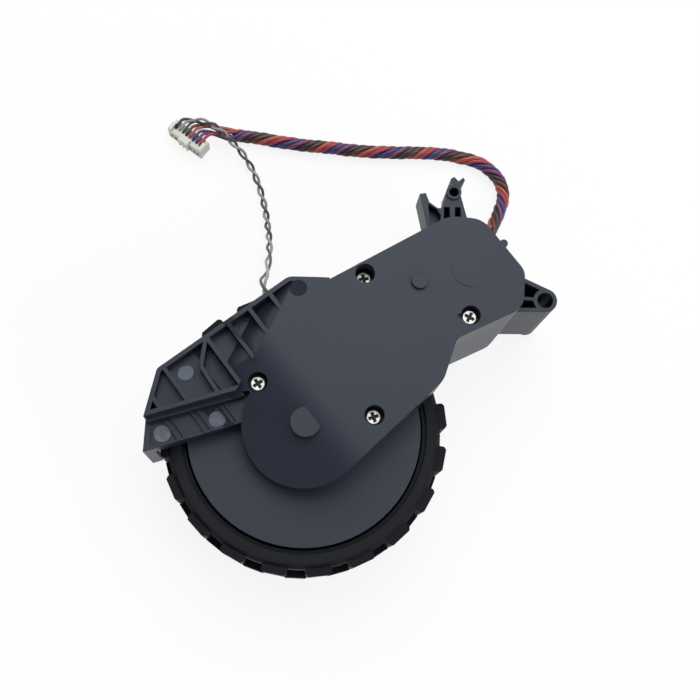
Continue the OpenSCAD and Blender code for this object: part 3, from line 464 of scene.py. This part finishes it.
node_finish = {
    "gearbox_cover": cover_plastic, "gearbox_housing": housing_plastic,
    "motor_cap": housing_plastic, "hub_cap": cover_plastic, "wheel_tyre": tread_rubber,
    "wheel_rim": rim_plastic, "cover_screws": screw_steel, "motor_screws": bright_steel,
    "wheel_screw": bright_steel, "motor_can": can_steel, "wheel_bearing": can_steel,
    "wheel_shaft": bright_steel, "motor_shaft": bright_steel, "gear_pins": bright_steel,
    "motor_end_cap": black_plastic, "encoder_magnet": black_plastic,
    "drop_switch": black_plastic, "switch_button": button_red, "encoder_board": board_green,
    "motor_terminals": brass, "motor_pinion": brass, "shaft_bush": bronze,
    "first_gear": gear_nylon, "second_gear": gear_nylon, "third_gear": gear_nylon,
    "output_gear": gear_nylon, "loom_plug": plug_nylon}
for name, finish in node_finish.items():
    mesh = nodes[name].data
    mesh.materials.clear()
    mesh.materials.append(finish)

# Motor loom: six wires twisted together, which fan out into the plug
WIRE_SPACING = 0.8 * MM
LOOM_WIRE_RADIUS = 0.58 * MM
LOOM_REACH = 1.27 * MM
LOOM_PITCH = 14 * MM
# Half the angle between the two wires of a pair
PAIR_ANGLE = math.radians(27)
# Colour of each wire, with its place in the plug
LOOM_WIRES = (("black", 0), ("brown", 3), ("orange", 4), ("red", 7), ("blue", 5), ("purple", 6))
FAN_LENGTH = 8 * MM
# Thickness of a lead at the plug, as a share of its thickness in the loom
LEAD_SHARE = 0.76


def turn_of(index):
    """Where wire number index lies round the loom: the six wires run as three pairs."""
    return 2 * math.pi * (index // 2) / 3 + (2 * (index % 2) - 1) * PAIR_ANGLE



def fan(wire, contact, length, radius):
    """The last stretch of a wire: from the end of the twist over the plug and into its top."""
    way = (wire[-1] - wire[-2]).normalized() * length
    on_top = PLUG_HEIGHT + radius
    edge = plug_point(contact, PLUG_HALF_WIDTH + 0.4 * MM, on_top + 0.1 * MM)
    return ([wire[-2], wire[-1]] + hermite(wire[-1], way, edge, -PLUG_OUT * length, 12)
            + [plug_point(contact, out * MM, on_top + rise * MM)
               for out, rise in ((1.2, 0.02), (0.5, -0.02), (0.0, -0.3), (-0.3, -0.9))])


full_path, full_length = even_points(smooth_route(LOOM_ROUTE), WIRE_SPACING)
loom_path = full_path[:len(full_path) - round(FAN_LENGTH / WIRE_SPACING)]
wires = [twisted_wire(loom_path, LOOM_REACH, LOOM_PITCH, turn_of(k), WIRE_SPACING)
         for k in range(len(LOOM_WIRES))]
loom_finishes = [wire_colours[colour] for colour, contact in LOOM_WIRES]
motor_loom = bundle("twisted_motor_wires", wires, LOOM_WIRE_RADIUS, loom_finishes)
leads = bundle("plug_leads", [fan(wire, contact, FAN_LENGTH, LOOM_WIRE_RADIUS)
                              for wire, (colour, contact) in zip(wires, LOOM_WIRES)],
               LOOM_WIRE_RADIUS, loom_finishes, LEAD_SHARE)
for piece in (motor_loom, leads):
    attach(piece, "arm")
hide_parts("motor_loom")

# Switch pair: two grey wires, from the drop switch to the plug
PAIR_WIRE_RADIUS = 0.4 * MM
PAIR_REACH = 0.6 * MM
PAIR_PITCH = 7 * MM
PAIR_FINISHES = [wire_colours["grey"], wire_colours["dark_grey"]]
PAIR_CONTACTS = (1, 2)

PAIR_FAN = 3 * MM

full_path, full_length = even_points(smooth_route(PAIR_ROUTE)[::-1], WIRE_SPACING)
pair_path = full_path[:len(full_path) - round(PAIR_FAN / WIRE_SPACING)]
wires, pair_leads = [], []
for k, contact in enumerate(PAIR_CONTACTS):
    wire = twisted_wire(pair_path, PAIR_REACH, PAIR_PITCH, math.pi * k, WIRE_SPACING)
    wires.append(wire)
    pair_leads.append(fan(wire, contact, PAIR_FAN, PAIR_WIRE_RADIUS))
switch_pair = bundle("twisted_switch_wires", wires, PAIR_WIRE_RADIUS, PAIR_FINISHES)
leads = bundle("switch_plug_leads", pair_leads, PAIR_WIRE_RADIUS, PAIR_FINISHES)
for piece in (switch_pair, leads):
    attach(piece, "arm")
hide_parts("switch_pair")

# Small plates: ejector marks on the wing, mottled and lighter in a painted sheen, a dark disc on the cover, and dark
# plates of painted shade in the bottoms of the screw recesses


def plate(form, outline, place, height, turn=0, rise=(0, 0)):
    """A thin plate with the given outline, its top at place; rise is its climb along X and Y."""
    rotation = Matrix.Rotation(turn, 4, "Z")
    rings = [[form.verts.new((Vector(place) + rotation @ Vector((x, y, z + x * rise[0]
                                                                 + y * rise[1]))) * MM)
              for x, y in outline] for z in (-height, 0)]
    low, top = rings
    form.faces.new(low[::-1])
    form.faces.new(top)
    for i in range(len(outline)):
        k = (i + 1) % len(outline)
        form.faces.new((low[i], low[k], top[k], top[i]))


def finish_plates(form, name, material):
    mesh = bpy.data.meshes.new(name)
    form.to_mesh(mesh)
    form.free()
    mesh.materials.append(material)
    piece = bpy.data.objects.new(name, mesh)
    scene.collection.objects.link(piece)
    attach(piece, "arm")
    return piece


MARK_RADIUS = 2.05
# Middle of each light mark, on the sunk discs of the wing and its ledge
MARKS = ((-28.51, 12.31, 33.31), (-20.82, 1.46, 30.91), (-33.66, -2.16, 31.04))
# The dark mark lies on the cover, where it starts to tilt
DARK_MARK = (-2, 32.3, 37.77)
DARK_MARK_RISE = (0.0657, -0.0239)
SCREWS = ((14, 36.2, 32.9, 10), (39.4, 26.2, 35.8, 62), (16.1, 1.7, 34.8, 20),
          (-11.3, 9.7, 33.6, 35))
RECESS_REACH = 1.2
RECESS_HALF = 0.35
RECESS_DEPTH = 0.3

circle = [(MARK_RADIUS * math.cos(2 * math.pi * k / 32), MARK_RADIUS * math.sin(2 * math.pi * k / 32))
          for k in range(32)]
form = bmesh.new()
for place in MARKS:
    plate(form, circle, place, 0.05)
finish_plates(form, "ejector_marks", mark_plastic)
form = bmesh.new()
plate(form, circle, DARK_MARK, 0.1, rise=DARK_MARK_RISE)
finish_plates(form, "dark_mark", dark_mark_plastic)

# Dark cross plates in the screw slots: painted shade where the slots lie in shadow
cross = []
for quarter in range(4):
    a = quarter * math.pi / 2
    for x, y in ((RECESS_HALF, -RECESS_HALF), (RECESS_REACH, -RECESS_HALF),
                 (RECESS_REACH, RECESS_HALF)):
        cross.append((x * math.cos(a) - y * math.sin(a), x * math.sin(a) + y * math.cos(a)))
form = bmesh.new()
for x, y, top, turn in SCREWS:
    plate(form, cross, (x, y, top - RECESS_DEPTH), 0.3, turn=math.radians(turn))
finish_plates(form, "screw_recess_shade", painted_recess_shade)

# Table, light and backdrop


def seen_directly(tree):
    """1 for rays from the camera and for those that metal or glass sends on, else 0."""
    path = tree.nodes.new("ShaderNodeLightPath")
    total = path.outputs["Is Camera Ray"]
    for ray in ("Is Glossy Ray", "Is Transmission Ray"):
        both = tree.nodes.new("ShaderNodeMath")
        both.operation = "MAXIMUM"
        tree.links.new(total, both.inputs[0])
        tree.links.new(path.outputs[ray], both.inputs[1])
        total = both.outputs[0]
    return total


# Share of plain white in the table as it is seen; the rest shows the object's shadow
TABLE_GLOW = 0.86


def set_table():
    bpy.ops.mesh.primitive_plane_add(size=3, location=(0, 0, -0.0001))
    table = bpy.context.object
    table.name = "table"
    material = bpy.data.materials.new("table")
    material.use_nodes = True
    tree = material.node_tree
    shader = tree.nodes["Principled BSDF"]
    shader.inputs["Base Color"].default_value = (0.92, 0.92, 0.92, 1)
    shader.inputs["Roughness"].default_value = 0.9
    shader.inputs["Specular IOR Level"].default_value = 0.0
    white = tree.nodes.new("ShaderNodeEmission")
    white.inputs["Color"].default_value = (1, 1, 1, 1)
    share = tree.nodes.new("ShaderNodeMath")
    share.operation = "MULTIPLY"
    share.inputs[1].default_value = TABLE_GLOW
    tree.links.new(seen_directly(tree), share.inputs[0])
    mix = tree.nodes.new("ShaderNodeMixShader")
    tree.links.new(share.outputs[0], mix.inputs[0])
    tree.links.new(shader.outputs[0], mix.inputs[1])
    tree.links.new(white.outputs[0], mix.inputs[2])
    tree.links.new(mix.outputs[0], tree.nodes["Material Output"].inputs["Surface"])
    table.data.materials.append(material)


def softbox(name, place, aim, width, height, watts):
    light = bpy.data.lights.new(name, "AREA")
    light.shape = "RECTANGLE"
    light.size = width
    light.size_y = height
    light.energy = watts
    lamp = bpy.data.objects.new(name, light)
    lamp.location = place
    lamp.rotation_euler = (Vector(aim) - Vector(place)).to_track_quat("-Z", "Y").to_euler()
    scene.collection.objects.link(lamp)


# The room is bright towards the upper right of the picture and dim towards its lower left
ROOM_BRIGHT_WAY = Vector((0.45, 0.5, 0.74))


def set_light():
    middle = (0.01, 0.03, 0.02)
    softbox("top_softbox", (0.06, 0.42, 0.8), middle, 0.7, 0.7, 4.5)
    softbox("side_softbox", (0.6, -0.35, 0.35), middle, 0.5, 0.4, 2.1)
    softbox("left_softbox", (-0.6, 0.54, 0.3), middle, 0.5, 0.4, 1.3)
    world = bpy.data.worlds.new("room")
    scene.world = world
    world.use_nodes = True
    tree = world.node_tree
    background = tree.nodes["Background"]
    background.inputs["Color"].default_value = (1, 1, 1, 1)
    place = tree.nodes.new("ShaderNodeTexCoord")
    side = tree.nodes.new("ShaderNodeVectorMath")
    side.operation = "DOT_PRODUCT"
    side.inputs[1].default_value = ROOM_BRIGHT_WAY
    tree.links.new(place.outputs["Generated"], side.inputs[0])
    strength = tree.nodes.new("ShaderNodeMapRange")
    strength.inputs["From Min"].default_value = 0.2
    strength.inputs["From Max"].default_value = 1.0
    strength.inputs["To Min"].default_value = 0.22
    strength.inputs["To Max"].default_value = 0.75
    tree.links.new(side.outputs["Value"], strength.inputs["Value"])
    # As it is seen directly the room is plain white
    path = tree.nodes.new("ShaderNodeLightPath")
    seen = tree.nodes.new("ShaderNodeMath")
    seen.operation = "MAXIMUM"
    tree.links.new(strength.outputs["Result"], seen.inputs[0])
    tree.links.new(path.outputs["Is Camera Ray"], seen.inputs[1])
    tree.links.new(seen.outputs[0], background.inputs["Strength"])


set_table()
set_light()
scene.view_settings.view_transform = "Standard"
